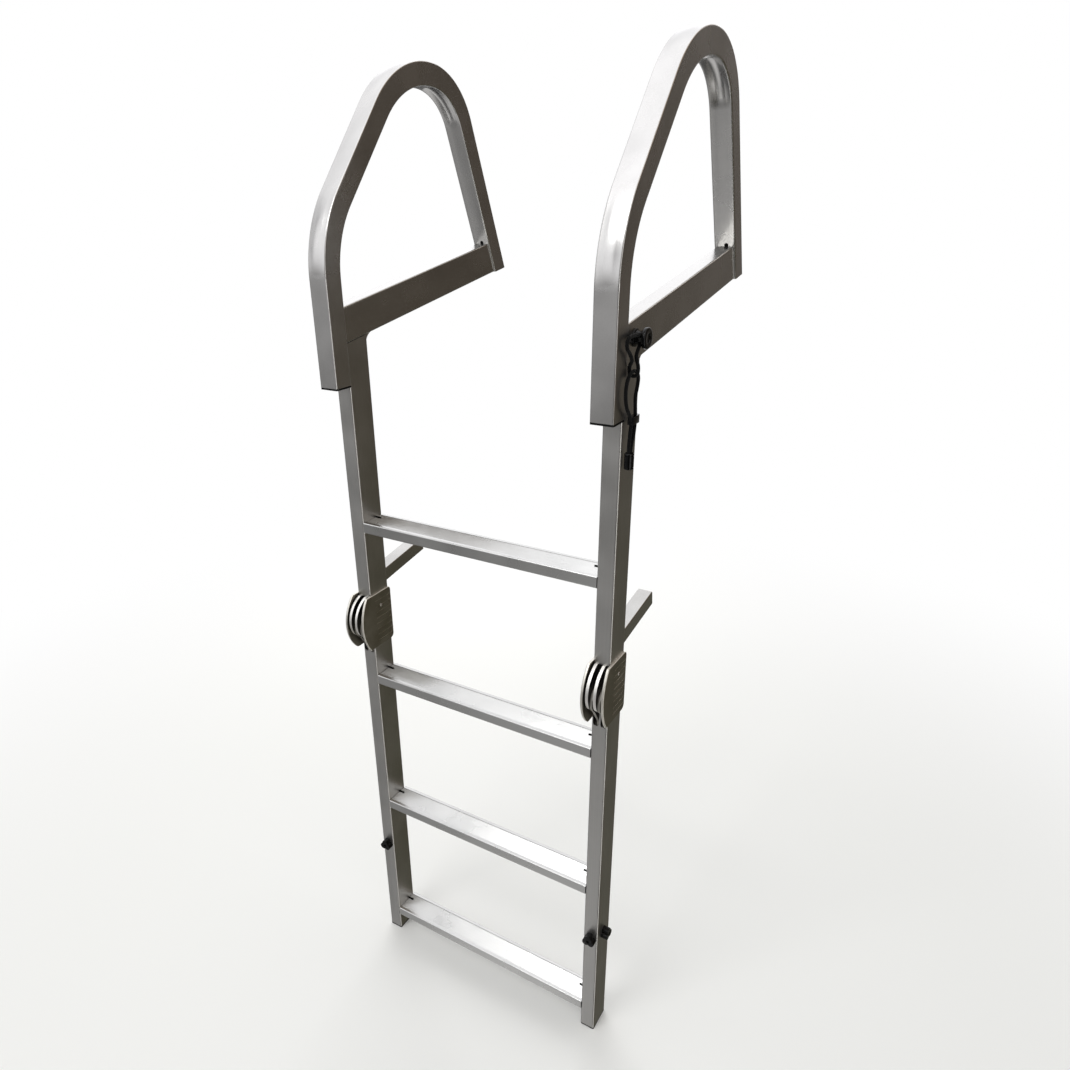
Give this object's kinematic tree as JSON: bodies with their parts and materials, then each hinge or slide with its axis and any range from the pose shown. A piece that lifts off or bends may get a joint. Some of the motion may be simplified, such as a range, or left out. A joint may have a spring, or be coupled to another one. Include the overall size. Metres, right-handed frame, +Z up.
{
  "type": "folding boarding ladder",
  "caption": "Aluminium boarding ladder with hoop handrails on sloped deck arms and a lower section that folds up forwards on side hinges.",
  "frame": {"origin": "on the underside of the right deck arm, midway across it, where it rests on the deck", "axes": "+Z up along the stiles, +Y back over the deck, +X to the climber's right"},
  "size_m": [0.5297, 0.5238, 1.6985],
  "materials": {
    "anodised_tube": "satin anodised",
    "ribbed_tread": "satin anodised, ribbed on top",
    "hinge_plate": "satin anodised plate",
    "pin_steel": "plain stainless",
    "black_plug": "moulded, matt",
    "black_rubber": "moulded, soft sheen",
    "black_knob": "moulded, low gloss",
    "black_cord": "braided cord"
  },
  "bodies": {
    "upper_frame": {"left_handrail": "anodised_tube", "left_handrail_plug": "black_plug", "left_deck_arm": "anodised_tube", "left_upper_stile": "anodised_tube", "left_standoff_bar": "anodised_tube", "left_hinge_cheeks": "hinge_plate", "left_hinge_pin": "pin_steel", "left_outer_hinge_cover": "hinge_plate", "left_inner_hinge_cover": "hinge_plate", "right_handrail": "anodised_tube", "right_handrail_plug": "black_plug", "right_deck_arm": "anodised_tube", "right_upper_stile": "anodised_tube", "right_standoff_bar": "anodised_tube", "right_hinge_cheeks": "hinge_plate", "right_hinge_pin": "pin_steel", "right_outer_hinge_cover": "hinge_plate", "right_inner_hinge_cover": "hinge_plate", "step_1": "ribbed_tread", "lanyard_knob": "black_knob", "lanyard_hitch": "black_cord", "lanyard_loop": "black_cord", "lanyard_cinch": "black_knob", "lanyard_barrel": "black_knob"},
    "lower_section": {"left_hinge_eyes": "hinge_plate", "left_lower_stile": "anodised_tube", "left_foot_plug": "black_plug", "left_buffer": "black_rubber", "right_hinge_eyes": "hinge_plate", "right_lower_stile": "anodised_tube", "right_foot_plug": "black_plug", "right_buffer": "black_rubber", "step_2": "ribbed_tread", "step_3": "ribbed_tread", "step_4": "ribbed_tread", "lanyard_catch": "black_rubber"}
  },
  "joints": [
    {"name": "lower_section_fold", "type": "hinge", "parent": "upper_frame", "child": "lower_section", "pos_m": [0, -0.254, -0.5508], "axis": [-1, 0, 0], "range_deg": [0, 175.1]}
  ]
}
